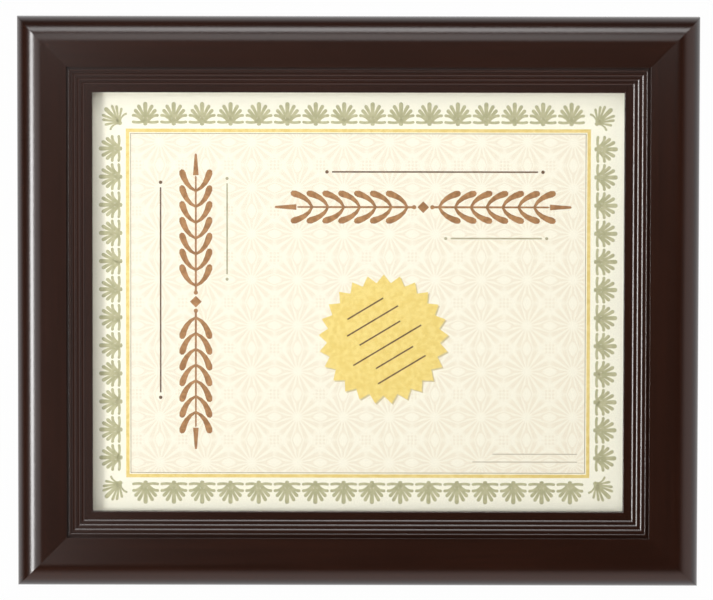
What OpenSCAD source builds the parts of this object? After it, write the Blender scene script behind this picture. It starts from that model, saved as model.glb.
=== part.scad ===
// Certificate frame: four mitred rails round a glazed document, a turn-button back and an easel leg.
// The frame is drawn flat: X to the right, Y up the frame, Z towards the viewer, and Z = 0 is the
// rails' back. stand() then leans it back on its easel, with the table at Z = 0.

/* [Opening] */
// Visible opening from left to right
sight_w = 268; // [180:1:400]
// Visible opening from bottom to top
sight_h = 212; // [160:1:360]

/* [Moulding] */
// Width of the moulding's face, outer edge to opening
rail_w = 38.1; // [34:0.1:60]
// Depth of the moulding at its highest point
rail_d = 19; // [18.5:0.5:28]
// Radius of the rounded outer shoulder
shoulder_r = 12; // [6:0.5:14]
// Fall of the flat field towards the opening, in degrees
field_fall = 3; // [1:0.5:4]
// Rounding where the field drops into the groove
field_nose = 1.2; // [0.4:0.1:2]
// Width of the groove between the field and the steps
quirk_w = 1.2; // [0.6:0.1:2]
// Depth of that groove below the top step
quirk_d = 0.9; // [0.4:0.1:2]
// Width of the lip, opening to first step
lip_w = 4.1; // [2.5:0.1:6]
// Thickness of the lip over the glass
lip_t = 4.4; // [3:0.1:6]
// Rounding of the lip at the opening
lip_nose = 1.6; // [0.5:0.1:2.4]
// Steps above the lip
step_count = 4; // [1:1:4]
// Width of each step
step_w = 2.2; // [1.2:0.1:3]
// Rise of each step
step_rise = 0.8; // [0.3:0.1:0.9]
// Share of each step's width that its round takes
step_round_w = 0.6; // [0.2:0.05:0.8]
// Share of each step's rise that its round takes
step_round_h = 0.65; // [0.3:0.05:0.9]

/* [Rabbet and what it holds] */
// How far the lip covers the glass
lip_cover = 6.35; // [4:0.05:10]
// Play between the rabbet and what lies in it, on each side
rabbet_play = 0.5; // [0.2:0.1:0.9]
// Thickness of the glass
glass_t = 2; // [1.5:0.1:3]
// Thickness of the certificate sheet
sheet_t = 0.3; // [0.1:0.05:0.6]
// Thickness of the corrugated filler
filler_t = 4; // [2:0.5:6]
// Thickness of the backing board
board_t = 3; // [2:0.5:4]
// Backing board's depth below the rails' back
board_sink = 0.3; // [0.1:0.1:0.8]

/* [Corner nails] */
// Length of each wing of a corner nail
vnail_wing = 6; // [3:0.5:8]
// Thickness of a corner nail
vnail_t = 0.8; // [0.4:0.1:1.2]
// How far a corner nail reaches into the wood
vnail_depth = 7; // [4:0.5:10]
// Distance of the outer corner nails from the outer edges
vnail_outer = 7; // [5:0.5:9]
// Distance of the inner corner nails from the outer edges
vnail_inner = 19; // [16:0.5:22]

/* [Turn buttons] */
// Screw to rabbet edge
button_set = 9.75; // [7:0.25:12]
// Distance of the long rails' buttons from the middle of the rail
button_span_long = 85; // [50:1:110]
// Distance of the short rails' buttons from the middle of the rail
button_span_short = 54; // [46:1:75]
// Screw to the middle of the tip's rounding
button_l = 14; // [12:0.5:18]
// Radius of the screw end
button_head_r = 6; // [4.5:0.5:8]
// Radius of the tip
button_tip_r = 3.5; // [2:0.5:4.5]
// Thickness of a turn button
button_t = 1.2; // [0.8:0.1:1.6]
// Radius of the screw's shank
screw_r = 1.75; // [1.2:0.05:2.2]
// Length of the screw below its head
screw_l = 12; // [8:0.5:14]
// Radius of the screw's head
screw_head_r = 3.4; // [2.8:0.1:4.2]
// Height of the screw's head
screw_head_h = 1.6; // [1:0.1:2]

/* [Sawtooth hangers] */
// Length of a hanger
hanger_l = 46; // [36:1:60]
// Width of a hanger
hanger_w = 8; // [6:0.5:12]
// Thickness of a hanger
hanger_t = 0.8; // [0.5:0.1:1.2]
// Space behind the raised part, where the wall nail goes
hanger_gap = 1.8; // [1.2:0.1:2.4]
// Length of each nailed end
hanger_tab = 8; // [6:0.5:10]
// Length of the ramp between an end and the raised part
hanger_ramp = 2; // [1:0.5:4]
// Spacing of the teeth
tooth_pitch = 3; // [2:0.5:4]
// Depth of the teeth
tooth_d = 1.8; // [1:0.1:2.5]
// Outer edge of the frame to the middle of a hanger
hanger_set = 10; // [8:0.5:14]
// Radius of a hanger nail's shank
nail_r = 0.8; // [0.6:0.1:1.1]
// Length of a hanger nail below its head
nail_l = 7; // [5:0.5:8]
// Radius of a hanger nail's head
nail_head_r = 2.2; // [1.6:0.1:2.8]
// Height of a hanger nail's head
nail_head_h = 0.7; // [0.4:0.1:1.2]

/* [Easel leg] */
// How far the frame leans back, in degrees
lean = 15; // [8:0.5:18]
// How far the leg opens from the back, in degrees
leg_open = 25; // [20:0.5:32]
// Slant of the leg from straight down, in degrees
leg_slant = 48; // [42:0.5:54]
// Length of the leg from hinge pin to the point of its foot
leg_l = 190; // [150:1:200]
// Width of the leg at the hinge
leg_top_w = 46; // [42:1:54]
// Width of the leg where its foot is cut
leg_foot_w = 64; // [50:1:76]
// Thickness of the leg
leg_t = 3; // [2:0.5:4]
// Rounding of the leg's upper corners
leg_corner = 7; // [2:0.5:10]

/* [Easel hinge] */
// Length of the hinge along its pin
hinge_l = 40; // [34:1:42]
// Length of each leaf from the pin
leaf_l = 26; // [20:1:34]
// Thickness of the leaves
leaf_t = 0.9; // [0.6:0.1:1.2]
// Rounding of the leaves' corners
leaf_corner = 4; // [1:0.5:6]
// Radius of the hinge pin
pin_r = 0.9; // [0.7:0.05:1]
// Length of the middle knuckle, which turns with the leg
knuckle_l = 15; // [10:0.5:18]
// Thickness of the peened ends of the pin
pin_head_t = 0.5; // [0.3:0.1:0.8]
// Radius of the rivets' shanks
rivet_r = 1.5; // [1:0.1:2]
// Radius of the rivets' heads
rivet_head_r = 2.9; // [2.4:0.1:3.4]
// Height of the rivets' heads
rivet_head_h = 0.8; // [0.5:0.1:1]

/* [Fits] */
// Radial clearance of a pin or shank in its hole
bore_fit = 0.05; // [0.02:0.01:0.1]
// Clearance between faces that slide on each other
slide_gap = 0.1; // [0.05:0.05:0.3]
// Clearance round the turning parts of the hinge
turn_gap = 0.3; // [0.2:0.1:0.5]

/* [Hidden] */
$fn = 96;

// Overall size of the flat frame
frame_w = sight_w + 2*rail_w;
frame_h = sight_h + 2*rail_w;
// What lies in the rabbet, counted from the lip to the rails' back
rabbet_d = glass_t + sheet_t + filler_t + board_t + board_sink;
rabbet_edge = rail_w - lip_cover;
glass_z = rabbet_d - glass_t;
sheet_z = glass_z - sheet_t;
filler_z = sheet_z - filler_t;
// The moulding's section, counted from its outer edge: the shoulder, the field, the groove and the steps
shoulder_z = rail_d - shoulder_r;
function field_z(s) = shoulder_z + shoulder_r/cos(field_fall) - (s - shoulder_r)*tan(field_fall);
function step_s(i) = rail_w - lip_w - (i - 1)*step_w;
function step_z(i) = rabbet_d + lip_t + i*step_rise;
function step_tread(i) = i < step_count ? step_w : step_w/2;
function round_w(i) = step_round_w*step_tread(i);
round_h = step_round_h*step_rise;
function round_r(i) = (pow(round_w(i), 2) + round_h*round_h)/(2*round_h);
field_edge = step_s(step_count) - step_tread(step_count) - quirk_w;
nose_s = field_edge - field_nose;
nose_z = field_z(nose_s) - field_nose/cos(field_fall);
groove_z = step_z(step_count) - quirk_d;
// A round stands this far proud of the flats that run into it, so that they cross it cleanly
weld = 0.01;
// Long cuts and blocks reach this far past what they cut
past = 1;
far = frame_w + frame_h;
// Stations of the turn buttons: place on the back, and the turn that points each one at the board
button_s = rabbet_edge - button_set;
BUTTONS = [
    [[frame_w/2 - button_span_long, frame_h - button_s], 180],
    [[frame_w/2 + button_span_long, frame_h - button_s], 180],
    [[frame_w - button_s, frame_h/2 + button_span_short], 90],
    [[frame_w - button_s, frame_h/2 - button_span_short], 90],
    [[frame_w/2 + button_span_long, button_s], 0],
    [[frame_w/2 - button_span_long, button_s], 0],
    [[button_s, frame_h/2 - button_span_short], -90],
    [[button_s, frame_h/2 + button_span_short], -90]];
// Stations of the hangers: the second serves the frame turned upright
HANGERS = [
    [[frame_w/2, frame_h - hanger_set], 0],
    [[hanger_set, frame_h/2], 90]];
hanger_nail_x = (hanger_l - hanger_tab)/2;
// The hinge: its pin lies this far behind the rails' back
knuckle_r = pin_r + bore_fit + leaf_t;
pin_back = knuckle_r + turn_gap - board_sink;
knuckle_room = knuckle_r + turn_gap;
leg_back = knuckle_r + leg_t;
rivet_x = hinge_l/2 - rivet_head_r - leaf_corner/2;
rivet_y = leaf_l - rivet_head_r - leaf_corner/2;
// The leg's stop: a tongue that meets the board leaf when the leg is open
leaf_face = knuckle_r + turn_gap - leaf_t;
tongue_l = (leaf_face - slide_gap + (knuckle_r - leaf_t)*cos(leg_open))/sin(leg_open);
// Where the foot's point lies, so that the hinge is placed to suit both ways of standing
foot_reach = leg_l*cos(leg_open) - leg_back*sin(leg_open);
foot_back = pin_back + leg_l*sin(leg_open) + leg_back*cos(leg_open);
foot_rise = foot_back*tan(lean);
hinge_x = frame_w - foot_reach*sin(leg_slant) - foot_rise;
hinge_y = foot_reach*cos(leg_slant) + foot_rise;
// Middle of the standing frame, from its front to the point of its foot
front_y = shoulder_r*sin(lean) - shoulder_z*cos(lean) - shoulder_r;
rear_y = foot_back/cos(lean);
middle_y = (front_y + rear_y)/2;

// Leans the flat frame back and puts its middle over the origin
module stand() translate([-frame_w/2, -middle_y, 0]) rotate([90 - lean, 0, 0]) children();

// Everything below the table, in the flat frame
module below_table() rotate([lean - 90, 0, 0]) translate([-far, -far, -far]) cube([3*far, 2*far, far]);

// Places a piece on the back, its Y turned as asked
module on_back(station) translate([station[0][0], station[0][1], 0]) rotate([0, 0, station[1]]) children();

// Flat plate with round corners, centred
module round_plate(w, h, r) {
    square([w - 2*r, h], center = true);
    square([w, h - 2*r], center = true);
    for (x = [-1, 1], y = [-1, 1]) translate([x*(w/2 - r), y*(h/2 - r)]) circle(r);
}

// Two rounds and the straight sides that touch both
module link(r0, r1, d) {
    a = asin((r0 - r1)/d);
    circle(r0 + weld);
    translate([0, d]) circle(r1 + weld);
    polygon([for (p = [[r0, 0], [r1, d]]) [p[0]*cos(a), p[1] + p[0]*sin(a)],
        for (p = [[r1, d], [r0, 0]]) [-p[0]*cos(a), p[1] + p[0]*sin(a)]]);
}

// Low dome on a flat ring, seated at Z = 0 and rising towards -Z
module dome_head(r, h) {
    ball = (r*r + h*h)/(2*h);
    rotate([180, 0, 0]) rotate_extrude() intersection() {
        translate([0, h - ball]) circle(ball);
        square([r, h]);
    }
}

// The moulding's section: outer edge at X = 0, opening at X = rail_w, back at Y = 0.
// The polygon, drawn counter-clockwise, holds the flats, and the circles round its cut-off corners.
module moulding() {
    polygon([[0, shoulder_z], [0, 0], [rabbet_edge, 0], [rabbet_edge, rabbet_d], [rail_w, rabbet_d],
        [rail_w, step_z(0) - lip_nose], [rail_w - lip_nose, step_z(0)],
        for (i = [1:step_count]) each [
            [step_s(i), step_z(i - 1)], [step_s(i), step_z(i) - round_h], [step_s(i) - round_w(i), step_z(i)]],
        [field_edge + quirk_w, step_z(step_count)], [field_edge + quirk_w, groove_z], [field_edge, groove_z],
        [field_edge, nose_z], [nose_s + field_nose*sin(field_fall), nose_z + field_nose*cos(field_fall)],
        [shoulder_r*(1 + sin(field_fall)), shoulder_z + shoulder_r*cos(field_fall)]]);
    intersection() {
        translate([shoulder_r, shoulder_z]) circle(shoulder_r + weld);
        translate([-past, 0]) square([3*shoulder_r, rail_d + past]);
    }
    translate([nose_s, nose_z]) circle(field_nose + weld);
    for (i = [1:step_count]) intersection() {
        translate([step_s(i) - round_w(i), step_z(i) - round_r(i)]) circle(round_r(i) + weld);
        translate([step_s(i) - step_tread(i), step_z(i - 1)]) square([step_tread(i), 2*step_rise]);
    }
    translate([rail_w - lip_nose, step_z(0) - lip_nose]) circle(lip_nose + weld);
}

// A mitred rail: its outer edge along X from the origin, its face rising to +Z
module rail(length) {
    reach = rail_w + past;
    intersection() {
        rotate([90, 0, 90]) linear_extrude(length) moulding();
        translate([0, 0, -past]) linear_extrude(rail_d + 2*past)
            polygon([[-past, -past], [length + past, -past], [length - reach, reach], [reach, reach]]);
    }
}

// The holes that the back's fasteners go into
module fastener_holes() {
    corner_nails();
    for (b = BUTTONS) on_back(b) translate([0, 0, -past]) cylinder(r = screw_r + bore_fit, h = screw_l + past);
    for (h = HANGERS, x = [-1, 1]) on_back(h) translate([x*hanger_nail_x, 0, -past])
        cylinder(r = nail_r + bore_fit, h = nail_l + past);
}

module wood() color("#33180f") children();
module top_rail() wood() stand() difference() {
    translate([frame_w, frame_h, 0]) rotate([0, 0, 180]) rail(frame_w);
    fastener_holes();
}
module bottom_rail() wood() stand() difference() {
    rail(frame_w);
    fastener_holes();
}
module left_rail() wood() stand() difference() {
    translate([0, frame_h, 0]) rotate([0, 0, -90]) rail(frame_h);
    fastener_holes();
}
module right_rail() wood() stand() difference() {
    translate([frame_w, 0, 0]) rotate([0, 0, 90]) rail(frame_h);
    fastener_holes();
}

// V-shaped nails pressed into the back across each mitre, two to a corner
module corner_nails() {
    for (x = [0, 1], y = [0, 1], d = [vnail_outer, vnail_inner])
        translate([x*frame_w, y*frame_h, 0]) mirror([x, 0, 0]) mirror([0, y, 0])
        translate([d, d, 0]) linear_extrude(vnail_depth) {
            square([vnail_wing, vnail_t]);
            square([vnail_t, vnail_wing]);
        }
}
module corner_v_nails() color("#8d8f91") stand() corner_nails();

// A sheet that lies in the rabbet
module rabbet_sheet(z, t, corner) {
    translate([frame_w/2, frame_h/2, z]) linear_extrude(t)
        round_plate(frame_w - 2*(rabbet_edge + rabbet_play), frame_h - 2*(rabbet_edge + rabbet_play), corner);
}
module glass_pane() color("#cfe4e2", 0.35) stand() rabbet_sheet(glass_z, glass_t, 0.5);
module certificate_sheet() color("#fdf5e3") stand() rabbet_sheet(sheet_z, sheet_t, 0.5);
module filler_board() color("#b08a5c") stand() rabbet_sheet(filler_z, filler_t, 1);
module backing_board() color("#3a2e27") stand() difference() {
    rabbet_sheet(board_sink, board_t, 3);
    at_hinge() for (x = [-1, 0, 1]) translate([x*rivet_x, rivet_y, -past])
        cylinder(r = rivet_r + bore_fit, h = pin_back + board_sink + board_t + 2*past);
}

// A turn button, its screw at the origin and its tip towards +Y
module turn_button(i) color("#a9abab") stand() on_back(BUTTONS[i])
    translate([0, 0, -slide_gap - button_t]) linear_extrude(button_t) difference() {
        link(button_head_r, button_tip_r, button_l);
        circle(screw_r + bore_fit);
    }
module turn_button_top_left() turn_button(0);
module turn_button_top_right() turn_button(1);
module turn_button_right_upper() turn_button(2);
module turn_button_right_lower() turn_button(3);
module turn_button_bottom_right() turn_button(4);
module turn_button_bottom_left() turn_button(5);
module turn_button_left_lower() turn_button(6);
module turn_button_left_upper() turn_button(7);

// Pan-head screws with a cross recess, each holding one turn button
module turn_button_screws() {
    head_z = -2*slide_gap - button_t;
    recess_w = screw_head_r/4;
    recess_l = 1.1*screw_head_r;
    color("#b9bbbb") stand() for (b = BUTTONS) on_back(b) difference() {
        union() {
            translate([0, 0, head_z]) dome_head(screw_head_r, screw_head_h);
            translate([0, 0, head_z]) cylinder(r = screw_r, h = screw_l - 2*screw_r - head_z);
            translate([0, 0, screw_l - 2*screw_r]) cylinder(r1 = screw_r, r2 = screw_r/4, h = 2*screw_r);
        }
        for (a = [0, 90]) rotate([0, 0, a]) translate([0, 0, head_z - screw_head_h])
            cube([recess_l, recess_w, screw_head_h], center = true);
    }
}

// Strip with nailed ends, a raised middle and teeth along its lower edge
module sawtooth_hanger(i) {
    k = hanger_t*tan(atan2(hanger_gap, hanger_ramp)/2);
    x0 = hanger_l/2;
    x1 = x0 - hanger_tab;
    x2 = x1 - hanger_ramp;
    half = [[x0, -hanger_t], [x1 + k, -hanger_t], [x2 + k, -hanger_gap - hanger_t]];
    inner = [[x2, -hanger_gap], [x1, 0], [x0, 0]];
    teeth = floor((2*x2 - tooth_pitch)/tooth_pitch);
    color("#b7b09a") stand() on_back(HANGERS[i]) difference() {
        rotate([90, 0, 0]) translate([0, 0, -hanger_w/2]) linear_extrude(hanger_w)
            polygon([for (p = half) p, for (j = [2:-1:0]) [-half[j][0], half[j][1]],
                for (j = [2:-1:0]) [-inner[j][0], inner[j][1]], for (p = inner) p]);
        for (j = [0:teeth - 1]) translate([(j - (teeth - 1)/2)*tooth_pitch, -hanger_w/2, -hanger_gap - 2*hanger_t])
            linear_extrude(3*hanger_t)
            polygon([[-tooth_pitch/2, -past], [tooth_pitch/2, -past], [tooth_pitch/2, 0], [0, tooth_d],
                [-tooth_pitch/2, 0]]);
        for (x = [-1, 1]) translate([x*hanger_nail_x, 0, -2*hanger_t])
            cylinder(r = nail_r + bore_fit, h = 3*hanger_t);
    }
}
module landscape_hanger() sawtooth_hanger(0);
module portrait_hanger() sawtooth_hanger(1);
module hanger_nails() color("#b7b09a") stand() for (h = HANGERS, x = [-1, 1])
    on_back(h) translate([x*hanger_nail_x, 0, -hanger_t]) {
        dome_head(nail_head_r, nail_head_h);
        cylinder(r = nail_r, h = nail_l + hanger_t - 2*nail_r);
        translate([0, 0, nail_l + hanger_t - 2*nail_r]) cylinder(r1 = nail_r, r2 = nail_r/4, h = 2*nail_r);
    }

// The hinge's own frame: X along the pin, Y up the board and away from the foot
module at_hinge() translate([hinge_x, hinge_y, -pin_back]) rotate([0, 0, leg_slant]) children();
// What turns with the leg is drawn folded against the board, and opened here
module opened() at_hinge() rotate([leg_open, 0, 0]) children();

// One knuckle round the pin, centred at x
module knuckle(x, length) {
    translate([x - length/2, 0, 0]) rotate([0, 90, 0]) cylinder(r = knuckle_r, h = length);
}
module pin_bore() translate([-hinge_l, 0, 0]) rotate([0, 90, 0]) cylinder(r = pin_r + bore_fit, h = 2*hinge_l);

// Leaf riveted to the backing board, with the two outer knuckles
module hinge_board_leaf() color("#9fa1a3") stand() at_hinge() {
    outer_l = (hinge_l - knuckle_l)/2 - turn_gap;
    difference() {
        union() {
            translate([0, 0, leaf_face]) linear_extrude(leaf_t) difference() {
                union() {
                    translate([0, leaf_l/2]) round_plate(hinge_l, leaf_l, leaf_corner);
                    translate([-hinge_l/2, 0]) square([hinge_l, leaf_corner]);
                }
                translate([-knuckle_l/2 - turn_gap, -past]) square([knuckle_l + 2*turn_gap, knuckle_room + past]);
                for (x = [-1, 0, 1]) translate([x*rivet_x, rivet_y]) circle(rivet_r + bore_fit);
            }
            for (x = [-1, 1]) knuckle(x*(hinge_l - outer_l)/2, outer_l);
        }
        pin_bore();
    }
}
// Leaf riveted to the leg, with the middle knuckle and the tongue that stops the leg
module hinge_leg_leaf() color("#9fa1a3") stand() opened() difference() {
    union() {
        translate([0, 0, -knuckle_r]) linear_extrude(leaf_t) difference() {
            union() {
                translate([0, -(leaf_l + knuckle_room)/2]) round_plate(hinge_l, leaf_l - knuckle_room, leaf_corner);
                translate([-hinge_l/2, -knuckle_room - leaf_corner]) square([hinge_l, leaf_corner]);
                translate([-knuckle_l/2, -knuckle_room - past]) square([knuckle_l, knuckle_room + past + tongue_l]);
            }
            for (x = [-1, 0, 1]) translate([x*rivet_x, -rivet_y]) circle(rivet_r + bore_fit);
        }
        knuckle(0, knuckle_l);
    }
    pin_bore();
}
// Pin with peened ends
module hinge_pin() color("#c0c2c4") stand() at_hinge() rotate([0, 90, 0]) {
    cylinder(r = pin_r, h = hinge_l + 2*pin_head_t, center = true);
    for (x = [-1, 1]) translate([0, 0, x*(hinge_l + pin_head_t)/2])
        cylinder(r = (pin_r + knuckle_r)/2, h = pin_head_t, center = true);
}
// Rivets that end flush with the far face of what they hold
module hinge_board_rivets() color("#c0c2c4") stand() at_hinge() for (x = [-1, 0, 1])
    translate([x*rivet_x, rivet_y, leaf_face]) {
        dome_head(rivet_head_r, rivet_head_h);
        cylinder(r = rivet_r, h = leaf_t + board_t);
    }
module hinge_leg_rivets() color("#c0c2c4") stand() opened() for (x = [-1, 0, 1])
    translate([x*rivet_x, -rivet_y, -leg_back]) {
        dome_head(rivet_head_r, rivet_head_h);
        cylinder(r = rivet_r, h = leg_t + leaf_t);
        translate([0, 0, leg_t + leaf_t]) mirror([0, 0, 1]) dome_head(rivet_head_r, rivet_head_h);
    }

// Where a line from p touches the round at c, on its counter-clockwise side
function touch(c, r, p) = let (v = p - c, a = atan2(v[1], v[0]) + acos(r/norm(v))) c + r*[cos(a), sin(a)];

// Outline of the leg, uncut: narrow and round at the hinge, wider towards the foot
module leg_outline() {
    top = [leg_top_w/2 - leg_corner, -knuckle_room - leg_corner];
    foot = [leg_foot_w/2, -leg_l - leg_foot_w/2];
    side = touch(top, leg_corner, foot);
    for (x = [-1, 1]) translate([x*top[0], top[1]]) circle(leg_corner + weld);
    polygon([[top[0], top[1] + leg_corner], [-top[0], top[1] + leg_corner], [-side[0], side[1]],
        [-foot[0], foot[1]], foot, side]);
}
// The foot is cut along the table for both ways of standing, so it lies flat either way
module easel_leg() color("#4a3b30") stand() difference() {
    opened() translate([0, 0, -leg_back]) linear_extrude(leg_t) difference() {
        leg_outline();
        for (x = [-1, 0, 1]) translate([x*rivet_x, -rivet_y]) circle(rivet_r + bore_fit);
    }
    below_table();
    translate([frame_w, 0, 0]) rotate([0, 0, 90]) below_table();
}

top_rail();
bottom_rail();
left_rail();
right_rail();
corner_v_nails();
glass_pane();
certificate_sheet();
filler_board();
backing_board();
turn_button_top_left();
turn_button_top_right();
turn_button_right_upper();
turn_button_right_lower();
turn_button_bottom_right();
turn_button_bottom_left();
turn_button_left_lower();
turn_button_left_upper();
turn_button_screws();
landscape_hanger();
portrait_hanger();
hanger_nails();
hinge_board_leaf();
hinge_board_rivets();
hinge_pin();
hinge_leg_leaf();
hinge_leg_rivets();
easel_leg();
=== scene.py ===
import logging
import math
from dataclasses import dataclass
from enum import Enum
from typing import Iterable, NamedTuple, Optional, Union

import bmesh
import bpy
from mathutils import Matrix, Vector


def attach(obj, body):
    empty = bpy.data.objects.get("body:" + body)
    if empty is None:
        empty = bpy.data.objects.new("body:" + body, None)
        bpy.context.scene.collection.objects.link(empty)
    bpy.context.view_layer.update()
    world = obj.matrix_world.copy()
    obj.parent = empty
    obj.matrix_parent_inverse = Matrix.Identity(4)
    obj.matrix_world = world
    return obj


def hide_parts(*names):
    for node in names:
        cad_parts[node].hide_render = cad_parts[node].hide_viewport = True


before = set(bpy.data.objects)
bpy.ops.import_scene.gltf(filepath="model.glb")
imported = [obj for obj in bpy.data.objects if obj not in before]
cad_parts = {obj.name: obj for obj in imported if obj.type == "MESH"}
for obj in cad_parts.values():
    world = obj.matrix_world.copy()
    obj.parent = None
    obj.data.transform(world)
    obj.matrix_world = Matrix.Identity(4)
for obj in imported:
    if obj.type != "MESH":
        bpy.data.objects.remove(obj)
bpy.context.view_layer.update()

MM = 0.001
LOG = logging.getLogger("certificate_frame")

Point = tuple[float, float]
Triple = tuple[float, float, float]
Colour = tuple[float, float, float, float]
Value = Union["Wire", float]
Tone = Union["Wire", Colour]


def shade(red: int, green: int, blue: int) -> Colour:
    """A colour as Blender wants it.

    Args:
        red: the screen colour's red, 0 to 255.
        green: its green.
        blue: its blue.

    Returns:
        The linear colour, opaque.
    """
    def linear(level: int) -> float:
        """One channel, without the screen's gamma."""
        part = level / 255
        return part / 12.92 if part <= 0.04045 else ((part + 0.055) / 1.055) ** 2.4
    return linear(red), linear(green), linear(blue), 1.0


def turned(angle: float) -> Matrix:
    """A turn about the Z axis, in degrees."""
    return Matrix.Rotation(math.radians(angle), 4, "Z")


class Body(Enum):
    """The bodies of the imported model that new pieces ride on."""

    FRAME = "frame"
    LEG = "leg"
    TOP_LEFT = "button_top_left"
    TOP_RIGHT = "button_top_right"
    RIGHT_UPPER = "button_right_upper"
    RIGHT_LOWER = "button_right_lower"
    BOTTOM_RIGHT = "button_bottom_right"
    BOTTOM_LEFT = "button_bottom_left"
    LEFT_LOWER = "button_left_lower"
    LEFT_UPPER = "button_left_upper"


class Slot(Enum):
    """The record's material slots, one passed with each new piece."""

    WOOD = "stained_wood"
    PAPER = "printed_paper"
    BACKING = "backing_hardboard"
    LEG = "leg_hardboard"
    BUTTON = "button_steel"


# Sizes


@dataclass(frozen=True)
class Sizes:
    """Sizes of the flat frame in millimetres: X right, Y up the frame, Z towards the viewer.

    The lean is in degrees. middle_y is where the middle of the standing frame's depth comes to lie.
    """

    sight_w: float = 268.0
    sight_h: float = 212.0
    rail_w: float = 38.1
    rail_d: float = 19.0
    lip_cover: float = 6.35
    rabbet_play: float = 0.5
    glass_t: float = 2.0
    sheet_t: float = 0.3
    filler_t: float = 4.0
    board_t: float = 3.0
    board_sink: float = 0.3
    lean: float = 15.0
    middle_y: float = 36.9702
    print_drop: float = 0.9

    @property
    def width(self) -> float:
        """Overall width."""
        return self.sight_w + 2 * self.rail_w

    @property
    def height(self) -> float:
        """Overall height, flat."""
        return self.sight_h + 2 * self.rail_w

    @property
    def rabbet_d(self) -> float:
        """Depth from the rails' back to the underside of the lip."""
        return self.glass_t + self.sheet_t + self.filler_t + self.board_t + self.board_sink

    @property
    def rabbet_edge(self) -> float:
        """Distance from a rail's outer edge to the wall of its rabbet."""
        return self.rail_w - self.lip_cover

    @property
    def glass_z(self) -> float:
        """Height of the glass's back face."""
        return self.rabbet_d - self.glass_t

    @property
    def rise(self) -> float:
        """Angle that the face is raised by from lying flat, in degrees."""
        return 90 - self.lean

    @property
    def stand(self) -> Matrix:
        """Takes the flat frame, in millimetres, to where it stands, in metres."""
        lift = Matrix.Translation((-self.width / 2, -self.middle_y, 0.0))
        return Matrix.Scale(MM, 4) @ lift @ Matrix.Rotation(math.radians(self.rise), 4, "X")

    def spot(self, across: float, up: float, out: float) -> Vector:
        """A place in the standing frame, from millimetres off the middle of the flat face."""
        return self.stand @ Vector((self.width / 2 + across, self.height / 2 + up, out))

    def way(self, across: float, up: float, out: float) -> Vector:
        """A direction of the flat frame, as it stands."""
        return (self.stand.to_3x3() @ Vector((across, up, out))).normalized()


SIZES = Sizes()


# Shader building


class Wire:
    """A socket of a node tree. Arithmetic on it adds Math nodes."""

    def __init__(self, recipe: "Recipe", socket: bpy.types.NodeSocket) -> None:
        """Keeps the recipe that it is part of, and the socket."""
        self.recipe = recipe
        self.socket = socket

    def maths(self, operation: str, *values: Value) -> "Wire":
        """The result of a Math node with this operation on these values."""
        return self.recipe.add("ShaderNodeMath", {"operation": operation}, dict(enumerate(values)))

    def __add__(self, other: Value) -> "Wire":
        """Sum."""
        return self.maths("ADD", self, other)

    __radd__ = __add__

    def __sub__(self, other: Value) -> "Wire":
        """Difference."""
        return self.maths("SUBTRACT", self, other)

    def __rsub__(self, other: Value) -> "Wire":
        """Difference from a number."""
        return self.maths("SUBTRACT", other, self)

    def __mul__(self, other: Value) -> "Wire":
        """Product."""
        return self.maths("MULTIPLY", self, other)

    __rmul__ = __mul__

    def __truediv__(self, other: Value) -> "Wire":
        """Quotient."""
        return self.maths("DIVIDE", self, other)

    def __pow__(self, other: float) -> "Wire":
        """Power."""
        return self.maths("POWER", self, other)

    def output(self, name: str) -> "Wire":
        """Another output of the same node."""
        return Wire(self.recipe, self.socket.node.outputs[name])

    def cosine(self) -> "Wire":
        """Cosine, of radians."""
        return self.maths("COSINE", self)

    def size(self) -> "Wire":
        """Absolute value."""
        return self.maths("ABSOLUTE", self)

    def larger(self, other: Value) -> "Wire":
        """The larger of two values."""
        return self.maths("MAXIMUM", self, other)

    def from_cell(self) -> "Wire":
        """Signed distance to the nearest whole number."""
        return self.maths("FRACT", self + 0.5) - 0.5

    def rise(self, low: float, high: float) -> "Wire":
        """A smooth step.

        Args:
            low: where it leaves 0.
            high: where it reaches 1; below low, it falls instead.

        Returns:
            The step, 0 to 1.
        """
        step = self.recipe.add("ShaderNodeMapRange", {"interpolation_type": "SMOOTHSTEP"}, {
            "Value": self, "From Min": min(low, high), "From Max": max(low, high)})
        return step if high > low else 1 - step


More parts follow.
